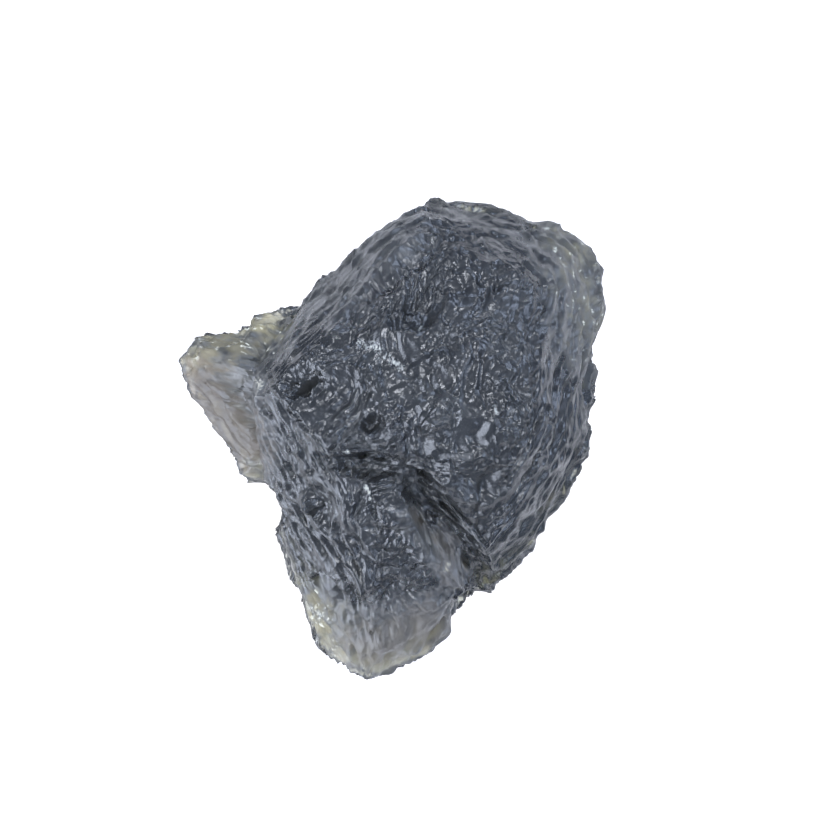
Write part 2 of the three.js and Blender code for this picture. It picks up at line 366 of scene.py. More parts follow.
@dataclass(frozen=True)
class StoneForm:
    """The stone's overall form, the same as its solid's: three blocks less their hollows."""

    heart: tuple[float, float, float] = (0.0, 0.0, 4.3)
    centre: tuple[float, float] = (0.0137, 0.0520)
    arris_sharpness: float = 170.0
    rim_wander: float = 0.055
    rim_waves: float = 2.6
    rim_quiver: float = 0.022
    rim_quivers: float = 7.0
    body: Block = Block(
        rim=(
            Corner(-9.0, 3.4, 3.4, 84, 52),
            Corner(-8.3, -1.8, 3.0, 79, 50),
            Corner(-5.8, -10.1, 2.5, 70, 44),
            Corner(-4.6, -13.0, 2.3, 56, 36),
            Corner(-3.0, -14.5, 2.4, 52, 34),
            Corner(-1.6, -15.1, 2.9, 52, 34),
            Corner(0.6, -14.5, 3.1, 58, 36),
            Corner(3.4, -12.5, 3.5, 62, 40),
            Corner(7.0, -9.1, 4.2, 64, 46),
            Corner(8.2, -7.6, 4.3, 62, 48),
            Corner(9.7, -6.0, 4.4, 62, 50),
            Corner(10.8, -4.0, 4.6, 62, 50),
            Corner(12.5, -0.9, 5.0, 64, 52),
            Corner(13.0, 3.3, 5.4, 67, 55),
            Corner(13.3, 7.7, 6.4, 60, 50),
            Corner(13.2, 9.6, 6.8, 58, 44),
            Corner(12.8, 11.3, 7.0, 56, 42),
            Corner(12.2, 12.3, 7.2, 56, 42),
            Corner(10.1, 13.7, 7.2, 58, 44),
            Corner(6.9, 14.65, 7.2, 62, 48),
            Corner(1.6, 15.3, 7.6, 60, 46),
            Corner(-1.0, 13.9, 7.6, 60, 44),
            Corner(-3.2, 11.7, 7.2, 70, 44),
            Corner(-5.8, 8.5, 6.4, 78, 50),
            Corner(-8.3, 5.7, 5.0, 83, 55),
        ),
        flats=(
            Flat(3.6, 2.7, 14.0, 4, -20),
            Flat(-3.7, 2.7, 12.2, 11, 190),
            Flat(-2.5, 9.4, 11.6, 22, 128),
            Flat(10.8, 9.4, 11.2, 33, 20),
            Flat(7.4, -4.3, 12.7, 22, -35),
            Flat(5.4, 11.8, 12.5, 17, 85),
            Flat(0.3, -1.6, 12.0, 22, -108),
            Flat(-0.4, -12.3, 6.0, 33, -85),
            Flat(-2.9, -3.6, 10.8, 50, 216),
            Flat(6.0, 2.1, 0.0, 156, 20),
            Flat(-0.1, 6.9, 0.0, 161, 110),
            Flat(-3.6, 0.2, 0.0, 157, 200),
            Flat(2.1, -4.3, 0.0, 164, 285),
        ),
    )
    wing: Block = Block(
        rim=(
            Corner(-13.4, 5.1, 4.6, 55, 35),
            Corner(-11.8, 7.3, 4.8, 40, 35),
            Corner(-5.6, 8.7, 5.6, 85, 85),
            Corner(1.8, 7.1, 6.0, 85, 85),
            Corner(5.5, -2.9, 6.0, 85, 85),
            Corner(-8.2, -2.6, 3.4, 45, 40),
            Corner(-9.5, -2.1, 3.4, 48, 35),
            Corner(-10.8, 0.1, 3.8, 46, 35),
            Corner(-12.7, 3.2, 4.4, 46, 35),
        ),
        flats=(
            Flat(-10.4, 5.1, 6.3, 9, 115),
            Flat(-10.4, 5.1, 6.3, 13, 222),
            Flat(-10.3, 4.0, 2.5, 174, 180),
        ),
    )
    ledge: Block = Block(
        rim=(
            Corner(-6.6, -3.7, 2.2, 60, 50),
            Corner(-7.35, -5.8, 2.0, 55, 45),
            Corner(-6.1, -9.3, 2.0, 70, 45),
            Corner(3.0, -3.4, 2.5, 85, 60),
            Corner(3.0, 3.3, 3.0, 85, 60),
            Corner(-3.9, 2.7, 3.0, 85, 60),
        ),
        flats=(Flat(-5.8, -6.4, 3.6, 24, 195),),
    )
    hollows: tuple[Hollow, ...] = (
        Hollow(3.3, -5.2, 9.1, 6.3, 1.6, 3.4, -58, -31, 2.0),
        Hollow(-1.2, -1.5, 12.0, 3.0, 1.0, 2.2, -10, 4, 1.0),
        Hollow(4.9, -10.4, 3.9, 1.7, 1.4, 4.6, 45, 0, 1.05),
        Hollow(-7.8, -4.1, 3.2, 1.7, 1.6, 3.6, 0, 0, 1.0),
        Hollow(-5.3, 3.5, 11.7, 1.45, 0.65, 1.5, 28, 8, 1.0),
        Hollow(-10.6, 7.4, 5.4, 2.0, 1.6, 3.0, 14, 0, 1.2),
        Hollow(13.4, 5.8, 6.2, 1.2, 1.5, 3.0, 0, 0, 0.75),
        Hollow(12.7, 1.8, 5.4, 1.0, 1.0, 2.6, 0, 0, 0.35),
        Hollow(-4.0, -4.0, 8.6, 2.1, 0.85, 1.4, -60, -14, 0.55),
        Hollow(8.8, 14.3, 7.2, 1.9, 1.3, 3.0, -20, 0, 0.4),
        Hollow(2.1, 8.3, 13.0, 1.7, 1.3, 2.0, 60, 0, 0.8),
        Hollow(-1.1, 1.1, 12.7, 0.85, 0.8, 1.2, 0, 0, 0.6),
    )

    def _block_reach(self, directions: Array, block: Block) -> Array:
        """How far a block's skin is from the heart: 1 over a soft maximum of nearness.

        Nearness is (normal · direction) / distance for each plane. The soft maximum is the
        largest, times 1 + log(sum of exp(sharpness × (nearness / largest - 1))) / sharpness.

        Args:
            directions: N unit vectors.
            block: the block.

        Returns:
            N distances in mm.
        """
        normals, distances = block.planes(np.array(self.heart))
        nearness = directions @ (normals / distances[:, None]).T
        most = nearness.max(axis=1, keepdims=True)
        eased = np.exp((nearness / most - 1.0) * self.arris_sharpness).sum(axis=1)
        return 1.0 / (most[:, 0] * (1.0 + np.log(eased) / self.arris_sharpness))

    def skin(self, directions: Array) -> tuple[Array, Array]:
        """The skin seen from the heart: heart + direction × (reach - depth of the hollows).

        Args:
            directions: N unit vectors.

        Returns:
            N points in mm, and how much was scooped away at each.
        """
        long = wave(directions * self.rim_waves, 5)
        short = wave(directions * self.rim_quivers, 6)
        tipped = directions.copy()
        tipped[:, 2] += self.rim_wander * long + self.rim_quiver * short
        tipped /= np.linalg.norm(tipped, axis=1, keepdims=True)
        blocks = (self.body, self.wing, self.ledge)
        reach = np.max([self._block_reach(tipped, block) for block in blocks], axis=0)
        falling = np.minimum(directions[:, 2], -1e-9)
        reach = np.minimum(reach, np.where(directions[:, 2] < 0, -self.heart[2] / falling, np.inf))
        outer = directions * reach[:, None] + self.heart
        dug = np.max([hollow.depth_at(outer) for hollow in self.hollows], axis=0)
        return directions * (reach - dug)[:, None] + self.heart, dug

    def even_out(self, directions: Array, quads: Array, rounds: int) -> Array:
        """Slides the vertices about on the skin until they are evenly spread.

        Each round moves a point halfway to the mean of its neighbours, then back on to the skin.

        Args:
            directions: N unit vectors.
            quads: the cells.
            rounds: how many times.

        Returns:
            N new unit vectors.
        """
        pairs = side_pairs(quads)
        count = np.bincount(pairs.ravel(), minlength=len(directions))[:, None]
        for _ in range(rounds):
            points, _dug = self.skin(directions)
            total = np.stack(
                [
                    np.bincount(pairs[:, 0], points[pairs[:, 1], axis], len(points))
                    + np.bincount(pairs[:, 1], points[pairs[:, 0], axis], len(points))
                    for axis in range(3)
                ],
                axis=1,
            )
            moved = (points + total / count) / 2 - self.heart
            directions = moved / np.linalg.norm(moved, axis=1, keepdims=True)
        return directions


@dataclass(frozen=True)
class Lump:
    """A small lump on the skin: its middle, radius and height, in mm."""

    x: float
    y: float
    z: float
    radius: float
    height: float

    def height_at(self, points: Array) -> Array:
        """The height at points: height × (1 - s²)², with s the distance in radii."""
        offset = (points - np.array([self.x, self.y, self.z])) / self.radius
        return self.height * np.maximum(0.0, 1.0 - (offset * offset).sum(axis=1)) ** 2


@dataclass(frozen=True)
class StoneSkin:
    """The etched skin: large pits and ledges as on the solid, and finer ones on top. In mm."""

    pit_size: float = 2.2
    pit_depth: float = 0.55
    ledge_height: float = 1.6
    ledge_stretch: float = 3.2
    ledge_depth: float = 0.42
    ledge_tilt: float = 0.22
    wall_radius: float = 9.0
    grooved_y: float = 4.0
    pitted_y: float = 8.0
    swirl_size: float = 3.1
    swirl_reach: float = 0.7
    curl_size: float = 1.1
    curl_reach: float = 0.22
    wing_edge_x: float = -8.6
    foot_radius: float = 4.0
    foot_fade: float = 1.5
    foot_stretch: float = 1.15
    foot_press: float = 0.12
    dimple_size: float = 0.90
    dimple_depth: float = 0.22
    dimple_stretch: float = 1.5
    speck_size: float = 0.50
    speck_stretch: float = 1.6
    speck_depth: float = 0.09
    ray_depth: float = 0.10
    groove_size: float = 0.50
    groove_length: float = 2.0
    groove_depth: float = 0.38
    bead_size: float = 0.60
    bead_depth: float = 0.07
    bead_stretch: float = 1.7
    ripple_size: float = 0.25
    ripple_length: float = 0.9
    ripple_depth: float = 0.09
    flow_reach: float = 1.2
    etch_calm: float = 0.7
    cluster_size: float = 1.7
    calm_relief: float = 0.35
    busy_relief: float = 0.95
    calm_etch: float = 0.4
    busy_etch: float = 0.8
    lumps: tuple[Lump, ...] = (
        Lump(2.5, 14.9, 7.6, 1.3, 0.34),
        Lump(9.8, 13.8, 7.2, 0.9, 0.15),
        Lump(6.0, 15.0, 7.2, 1.3, 0.15),
        Lump(12.9, 11.0, 7.0, 1.3, 0.15),
        Lump(13.4, 8.2, 6.5, 1.3, 0.20),
    )
    # Where grooves run, seen from above: x, y and their way in degrees from +X.
    flow_lines: tuple[tuple[float, float, float], ...] = (
        (-8.0, 2.5, 113), (-6.5, 0.5, 114), (-5.5, -2.5, 116), (-4.0, -1.5, 112),
        (-4.5, -5.0, 112), (-3.0, -7.5, 104), (-3.5, -10.0, 110), (-6.0, -7.5, 115),
        (-4.5, -11.5, 108), (-2.5, -13.0, 100), (-0.5, -12.5, 80), (2.0, -11.0, 83),
        (3.5, -10.0, 88), (-1.5, -5.5, 85), (0.0, -4.0, 20), (2.0, -6.0, 100),
        (0.0, -7.5, 170), (0.5, -10.0, 60), (-1.5, -9.0, 70), (-11.0, 2.5, 122),
        (-9.5, 0.0, 118), (-10.0, 4.0, 20), (-8.0, 6.5, 15), (-12.0, 5.5, 45),
        (-4.5, 7.5, 25), (-2.5, 10.5, 38), (0.5, 13.0, 30), (-0.5, 10.5, 20),
        (-5.5, 5.5, 32), (-3.5, 4.5, 62), (-5.5, 2.5, 30), (-3.0, 6.0, 18),
        (4.5, 14.0, 174), (7.5, 13.5, 165), (10.0, 12.5, 130), (12.0, 10.0, 100),
        (10.5, 7.5, 80), (9.5, 10.5, 75), (12.5, 6.5, 92), (11.0, 2.5, 93),
        (9.5, 0.5, 88), (11.0, -2.0, 75), (9.0, -4.0, 62), (8.0, -6.5, 45),
        (6.0, -7.5, 15), (6.5, -5.5, 60), (5.5, -9.0, 165), (2.0, 2.5, 91),
        (2.5, 5.5, 95), (0.5, 5.5, 105), (4.0, 2.5, 80), (7.0, 4.0, 122),
        (5.5, 0.0, 77), (8.0, -0.5, 76), (1.5, 8.0, 128), (2.5, 8.0, 103),
        (3.5, 8.5, 74), (6.0, 7.5, 65), (8.0, 11.0, 105), (5.5, 11.5, 80),
        (3.0, 12.5, 35), (1.0, 10.5, 15), (8.5, 7.0, 85), (3.0, -0.5, 90),
        (6.5, -2.5, 72), (-3.5, 1.5, 60), (-2.0, 2.5, 40), (-1.5, -0.5, 50),
        (0.5, -1.5, 25), (-3.5, -0.5, 75), (-0.5, 4.0, 80), (1.0, -2.5, 160),
        (3.5, -3.5, 150), (4.5, -5.5, 118), (5.0, -7.0, 110), (2.5, -5.0, 165),
    )

    def flow(self, points: Array, normals: Array, bend: Array) -> Array:
        """The way the grooves run on the skin.

        Near flow lines count most, with weight exp(-distance² / (2 reach²)). Their angles are
        doubled for the mean, as a groove has no front or back. The underside's grooves run
        round the stone.

        Args:
            points: N points in mm.
            normals: their unit normals.
            bend: N small angles, in radians, that the grooves are turned by.

        Returns:
            N unit vectors along the skin.
        """
        lines = np.array(self.flow_lines)
        apart = (points[:, None, :2] - lines[None, :, :2]) / self.flow_reach
        square = (apart * apart).sum(axis=2)
        weight = np.exp((square.min(axis=1, keepdims=True) - square) / 2)
        twice = np.radians(lines[:, 2]) * 2
        angle = np.arctan2(weight @ np.sin(twice), weight @ np.cos(twice)) / 2 + bend
        plan = np.stack([np.cos(angle), np.sin(angle), np.zeros(len(points))], axis=1)
        around = np.stack([-points[:, 1], points[:, 0], np.zeros(len(points))], axis=1)
        around /= np.linalg.norm(around, axis=1, keepdims=True) + 1e-9
        around *= np.sign((around * plan).sum(axis=1, keepdims=True) + 1e-9)
        under = ease(0.15, -0.15, normals[:, 2])[:, None]
        way = plan * (1.0 - under) + around * under
        way -= normals * (way * normals).sum(axis=1, keepdims=True)
        return way / (np.linalg.norm(way, axis=1, keepdims=True) + 1e-9)

    def relief(self, form: StoneForm, points: Array, normals: Array, dug: Array) -> "Relief":
        """How far the skin stands out along its normal, and the coordinates its grain follows.

        Args:
            form: the stone's form.
            points: N points on the form, in mm.
            normals: their unit normals.
            dug: how much was scooped away at each, in mm.

        Returns:
            The relief.
        """
        curl = nudge(points, self.curl_size, 21)
        bent = points + self.swirl_reach * nudge(points, self.swirl_size, 11)
        bent += self.curl_reach * curl
        turn = np.arctan2(bent[:, 1] - form.heart[1], bent[:, 0] - form.heart[0])
        level = bent[:, 2] + self.ledge_tilt * bent[:, 1]
        round_x = np.cos(turn) * self.wall_radius / self.ledge_stretch
        round_y = np.sin(turn) * self.wall_radius / self.ledge_stretch

        up = ease(0.55, 0.8, normals[:, 2])
        down = ease(-0.3, -0.6, normals[:, 2])
        wall = 1.0 - np.maximum(up, down)
        wing = ease(self.wing_edge_x, self.wing_edge_x - 1.0, points[:, 0])
        bevel_side = ease(0.35, 0.6, 0.6 * normals[:, 1] - 0.7 * normals[:, 0])
        bevel = np.where(normals[:, 2] > 0, bevel_side * (1.0 - wing), 0.0)
        hollow = ease(0.02, 0.4, dug)
        from_middle = np.hypot(points[:, 0], points[:, 1] / self.foot_stretch)
        foot = ease(self.foot_radius + self.foot_fade, self.foot_radius, from_middle) * down

        pit, way, mark = bowls(bent / self.pit_size, 31)
        ledges = np.stack([round_x, round_y, level], axis=1) / self.ledge_height
        ledge, _, _ = bowls(ledges, 41)
        large = (up * (1.0 - hollow) + down) * self.pit_depth * (pit - 0.4)
        large += wall * self.ledge_depth * (ledge - 0.45)
        large *= (1.0 - 0.6 * wing) * (1.0 - 0.35 * bevel) * (1.0 - 0.8 * foot)

        # Short ridges run out from the middle of each large pit.
        around = np.arctan2(way[:, 1], way[:, 0]) + 0.5 * curl[:, 0]
        rays = np.abs(np.sin(around * np.round(9 + 8 * mark) / 2)) - 0.6
        rays *= ease(0.12, 0.45, np.linalg.norm(way, axis=1))
        flow = self.flow(points, normals, (0.35 - 0.2 * wall) * curl[:, 1])
        dimple, _, _ = bowls(bent / self.dimple_size, 51, flow, self.dimple_stretch)
        speck, _, _ = bowls(bent / self.speck_size, 81, flow, self.speck_stretch)
        bead, _, _ = bowls(bent / self.bead_size, 66, flow, self.bead_stretch)
        straight = points + (bent - points) * (1.0 - 0.7 * wall)[:, None]
        groove = streaks(straight, flow, self.groove_size, self.groove_length, 61)
        ripple = streaks(bent, flow, self.ripple_size, self.ripple_length, 71)
        pitted = ease(self.grooved_y, self.pitted_y, points[:, 1])
        broad = (1.0 - (0.9 - 0.6 * pitted) * wall) * (1.0 - 0.3 * hollow) * (1.0 - 0.5 * wing)
        # Calm spots lie between busy ones.
        busy = ease(-0.35, 0.4, wave(bent / self.cluster_size, 91))
        broad *= self.calm_relief + self.busy_relief * busy
        fine = broad * self.dimple_depth * (dimple - 0.3)
        fine += broad * self.speck_depth * (speck - 0.3)
        fine += broad * (1.0 - wall) * self.ray_depth * rays
        # Grooves run along the walls and down the wing, with beads between them.
        long = np.maximum(wall * (1.0 - 0.5 * pitted), 0.3 * wing)
        fine += (0.5 - 0.2 * wing + 0.5 * long) * self.groove_depth * (0.5 - np.abs(groove) * 1.2)
        fine += (0.4 + 0.6 * long) * self.bead_depth * (bead - 0.3)
        fine += hollow * self.ripple_depth * ripple
        fine *= (1.0 - 0.2 * bevel) * (1.0 - 0.7 * foot)
        height = large + fine + foot * self.foot_press
        for lump in self.lumps:
            height += lump.height_at(points)
        etch = 1.0 - self.etch_calm * np.maximum(wall * (1.0 - pitted), wing)
        etch *= self.calm_etch + self.busy_etch * busy
        return Relief(height=height, grain=bent, flow=flow, etch=etch)


@dataclass(frozen=True)
class Relief:
    """What the etched skin adds at each vertex."""

    height: Array
    grain: Array
    flow: Array
    etch: Array


@dataclass(frozen=True)
class Mark:
    """A mark on the upper skin: a stroke between two points, its half-width, and its strength.

    It is given as seen from above, in mm.
    """

    x: float
    y: float
    to_x: float
    to_y: float
    width: float
    strength: float


def cover_by(
    marks: tuple[Mark, ...], points: Array, normals: Array, ragged: Array, soft: float
) -> Array:
    """How strongly marks cover the skin: full inside each stroke, fading over a ragged edge.

    Args:
        marks: the marks.
        points: N by 3, in mm.
        normals: N unit normals. Only skin that faces up is marked.
        ragged: N numbers from -1 to 1 that push the edges in and out.
        soft: how wide the fading edge is, in half-widths each way.

    Returns:
        N numbers from 0 to 1.
    """
    cover = np.zeros(len(points))
    for mark in marks:
        start = np.array([mark.x, mark.y])
        along = np.array([mark.to_x, mark.to_y]) - start
        offset = points[:, :2] - start
        part = np.clip(offset @ along / max(along @ along, 1e-9), 0.0, 1.0)
        away = np.linalg.norm(offset - part[:, None] * along, axis=1) / mark.width
        faded = ease(1.0 + soft, 1.0 - soft, away + 0.5 * ragged)
        cover = np.maximum(cover, faded * mark.strength)
    return cover * (normals[:, 2] > 0.05)


def linear(colour: str) -> tuple[float, float, float, float]:
    """Turns an sRGB hex colour into linear red, green, blue and alpha.

    Args:
        colour: six hex digits.

    Returns:
        Four numbers from 0 to 1.
    """
    parts = [int(colour[k : k + 2], 16) / 255 for k in (0, 2, 4)]
    red, green, blue = (p / 12.92 if p <= 0.04045 else ((p + 0.055) / 1.055) ** 2.4 for p in parts)
    return red, green, blue, 1.0


def add_node(tree: bpy.types.NodeTree, kind: str, **settings: object) -> bpy.types.Node:
    """Adds a node, with its settings and links.

    Args:
        tree: the node tree.
        kind: the node's type name.
        **settings: attributes of the node, or, with names that start with in_, its inputs by
            place or by name with _ for a space. An output socket given to an input is linked.

    Returns:
        The node.
    """
    node = tree.nodes.new(kind)
    for name, value in settings.items():
        if not name.startswith("in_"):
            setattr(node, name, value)
    for name, value in settings.items():
        if name.startswith("in_"):
            key = name[3:]
            socket = node.inputs[int(key) if key.isdigit() else key.replace("_", " ")]
            if isinstance(value, bpy.types.NodeSocket):
                tree.links.new(value, socket)
            else:
                socket.default_value = value
    return node


@dataclass(frozen=True)
class MoldaviteGlass:
    """Natural bottle-green glass, etched in the soil: satin, black where thick, olive where thin.

    Its absorption is plain, so light that crosses a few millimetres turns olive, and the body
    looks black. Fine etching gives it a satin sheen that takes the lamps' bluish colour. Chips
    are pale and matt, and soil stains them brown. Some chip strokes are painted glints and
    painted light on a lit crest, and frost on thin parts is partly painted light that shines
    through from below.
    """

    name: str = "etched_bottle_green_glass"
    body: str = "d6dadb"
    # Pale warm frost; on thin parts it is partly painted light shining through from below.
    frost_and_backlight_colour: str = "cfc5a2"
    # Pale chips and worn spots, also used for painted glints and painted light on a lit crest.
    chip_and_glint_colour: str = "d6d6c4"
    soil: str = "857766"
    ior: float = 1.49
    roughness: float = 0.27
    clear: float = 0.972
    frost_and_backlight_cover: float = 0.22
    frost_roughness: float = 0.35
    veil_mm: float = 1.6
    veil_from: float = 0.45
    veil_to: float = 0.7
    veil_cover: float = 0.027
    crumb_mm: float = 0.13
    crumb_low: float = -0.1
    crumb_high: float = 0.25
    covered_clear: float = 0.25
    covered_roughness: float = 0.7
    soil_strength: float = 1.5
    absorbed: str = "bdba92"
    density: float = 1600.0
    etch_mm: float = 0.48
    etch_depth_mm: float = 0.12
    thread_mm: float = 0.15
    thread_length_mm: float = 0.36
    thread_depth_mm: float = 0.004

    def _threads(self, tree: bpy.types.NodeTree) -> bpy.types.NodeSocket:
        """Fine threads along the flow: the sum of plain noise at five places along it.

        Args:
            tree: the node tree.

        Returns:
            The sum, about 2.5 on average.
        """
        grain = add_node(tree, "ShaderNodeAttribute", attribute_name=Layer.GRAIN.value)
        flow = add_node(tree, "ShaderNodeAttribute", attribute_name=Layer.FLOW.value)
        total = None
        for place in np.linspace(-self.thread_length_mm, self.thread_length_mm, 5):
            spot = add_node(
                tree,
                "ShaderNodeVectorMath",
                operation="MULTIPLY_ADD",
                in_0=flow.outputs["Vector"],
                in_1=(place, place, place),
                in_2=grain.outputs["Vector"],
            )
            noise = add_node(
                tree,
                "ShaderNodeTexNoise",
                in_Vector=spot.outputs[0],
                in_Scale=1.0 / self.thread_mm,
                in_Detail=0.0,
            )
            if total is None:
                total = noise.outputs["Fac"]
            else:
                added = add_node(tree, "ShaderNodeMath", operation="ADD", in_0=total)
                tree.links.new(noise.outputs["Fac"], added.inputs[1])
                total = added.outputs[0]
        return total

    def build(self) -> bpy.types.Material:
        """Makes the material.

        Returns:
            The material.
        """
        material = bpy.data.materials.new(self.name)
        material.use_nodes = True
        tree = material.node_tree
        tree.nodes.clear()
        grain = add_node(tree, "ShaderNodeAttribute", attribute_name=Layer.GRAIN.value)
        chip_and_glint = add_node(tree, "ShaderNodeAttribute", attribute_name=Layer.CHIP_AND_GLINT.value)
        soil = add_node(tree, "ShaderNodeAttribute", attribute_name=Layer.SOIL.value)
        frost_and_backlight = add_node(tree, "ShaderNodeAttribute", attribute_name=Layer.FROST_AND_BACKLIGHT.value)

        # Fine etching: bowls half a millimetre across, and threads along the flow.
        etch = add_node(
            tree,
            "ShaderNodeTexVoronoi",
            feature="F1",
            in_Vector=grain.outputs["Vector"],
            in_Scale=1.0 / self.etch_mm,
        )
        bowl = add_node(tree, "ShaderNodeMath", operation="POWER", in_0=etch.outputs["Distance"], in_1=2.0)
        etched = add_node(tree, "ShaderNodeAttribute", attribute_name=Layer.ETCH.value)
        bowled = add_node(
            tree,
            "ShaderNodeMath",
            operation="MULTIPLY",
            in_0=bowl.outputs[0],
            in_1=etched.outputs["Fac"],
        )
        carved = add_node(
            tree,
            "ShaderNodeBump",
            in_Strength=1.0,
            in_Distance=self.etch_depth_mm * MM,
            in_Height=bowled.outputs[0],
        )
        threaded = add_node(
            tree,
            "ShaderNodeBump",
            in_Strength=1.0,
            in_Distance=self.thread_depth_mm * MM,
            in_Height=self._threads(tree),
            in_Normal=carved.outputs["Normal"],
        )

        # A thin pale bloom lies in patches about a millimetre and a half across.
        bloom = add_node(
            tree,
            "ShaderNodeTexNoise",
            in_Vector=grain.outputs["Vector"],
            in_Scale=1.0 / self.veil_mm,
            in_Detail=3.0,
        )
        veil = add_node(
            tree,
            "ShaderNodeMapRange",
            in_Value=bloom.outputs["Fac"],
            in_1=self.veil_from,
            in_2=self.veil_to,
            in_3=0.0,
            in_4=self.veil_cover,
        )

        # Chips, worn spots, painted glints and soil hide the glass, and they are matt. Fine noise breaks
        # up their edges.
        crumbs = add_node(
            tree,
            "ShaderNodeTexNoise",
            in_Vector=grain.outputs["Vector"],
            in_Scale=1.0 / self.crumb_mm,
            in_Detail=1.0,
        )
        broken = add_node(
            tree,
            "ShaderNodeMath",
            operation="SUBTRACT",
            in_0=chip_and_glint.outputs["Fac"],
            in_1=crumbs.outputs["Fac"],
        )
        # The pale chips and painted glints, with ragged edges.
        chip_and_glint_mask = add_node(
            tree,
            "ShaderNodeMapRange",
            in_Value=broken.outputs[0],
            in_1=self.crumb_low,
            in_2=self.crumb_high,
        )
        earthy = add_node(
            tree,
            "ShaderNodeMath",
            operation="MULTIPLY",
            in_0=soil.outputs["Fac"],
            in_1=crumbs.outputs["Fac"],
        )
        covered = add_node(
            tree,
            "ShaderNodeMath",
            operation="MAXIMUM",
            in_0=chip_and_glint_mask.outputs[0],
            in_1=earthy.outputs[0],
        )
        hidden = add_node(
            tree,
            "ShaderNodeMath",
            operation="MULTIPLY_ADD",
            in_0=frost_and_backlight.outputs["Fac"],
            in_1=self.frost_and_backlight_cover,
            in_2=covered.outputs[0],
            use_clamp=True,
        )
        veiled = add_node(
            tree,
            "ShaderNodeMath",
            operation="ADD",
            in_0=hidden.outputs[0],
            in_1=veil.outputs[0],
            use_clamp=True,
        )
        clear = add_node(
            tree,
            "ShaderNodeMapRange",
            in_Value=veiled.outputs[0],
            in_3=self.clear,
            in_4=self.covered_clear,
        )
        satin = add_node(
            tree,
            "ShaderNodeMapRange",
            in_Value=frost_and_backlight.outputs["Fac"],
            in_3=self.roughness,
            in_4=self.roughness + self.frost_roughness,
        )
        matt = add_node(
            tree,
            "ShaderNodeMix",
            in_0=covered.outputs[0],
            in_2=satin.outputs[0],
            in_3=self.covered_roughness,
        )
        # Frost pales the colour; on thin parts this is partly painted light from below.
        pale = add_node(
            tree,
            "ShaderNodeMix",
            data_type="RGBA",
            in_0=frost_and_backlight.outputs["Fac"],
            in_6=linear(self.body),
            in_7=linear(self.frost_and_backlight_colour),
        )
        # Chips and painted glints turn pale.
        chipped_and_glinting = add_node(
            tree,
            "ShaderNodeMix",
            data_type="RGBA",
            in_0=chip_and_glint_mask.outputs[0],
            in_6=pale.outputs[2],
            in_7=linear(self.chip_and_glint_colour),
        )
        brown = add_node(
            tree,
            "ShaderNodeMath",
            operation="MULTIPLY",
            in_0=soil.outputs["Fac"],
            in_1=self.soil_strength,
            use_clamp=True,
        )
        coloured = add_node(
            tree,
            "ShaderNodeMix",
            data_type="RGBA",
            in_0=brown.outputs[0],
            in_6=chipped_and_glinting.outputs[2],
            in_7=linear(self.soil),
        )
        glass = add_node(
            tree,
            "ShaderNodeBsdfPrincipled",
            in_Base_Color=coloured.outputs[2],
            in_Roughness=matt.outputs[0],
            in_IOR=self.ior,
            in_Transmission_Weight=clear.outputs[0],
            in_Normal=threaded.outputs["Normal"],
        )
        depth = add_node(
            tree,
            "ShaderNodeVolumeAbsorption",
            in_Color=linear(self.absorbed),
            in_Density=self.density,
        )
        add_node(tree, "ShaderNodeOutputMaterial", in_Surface=glass.outputs[0], in_Volume=depth.outputs[0])
        return material


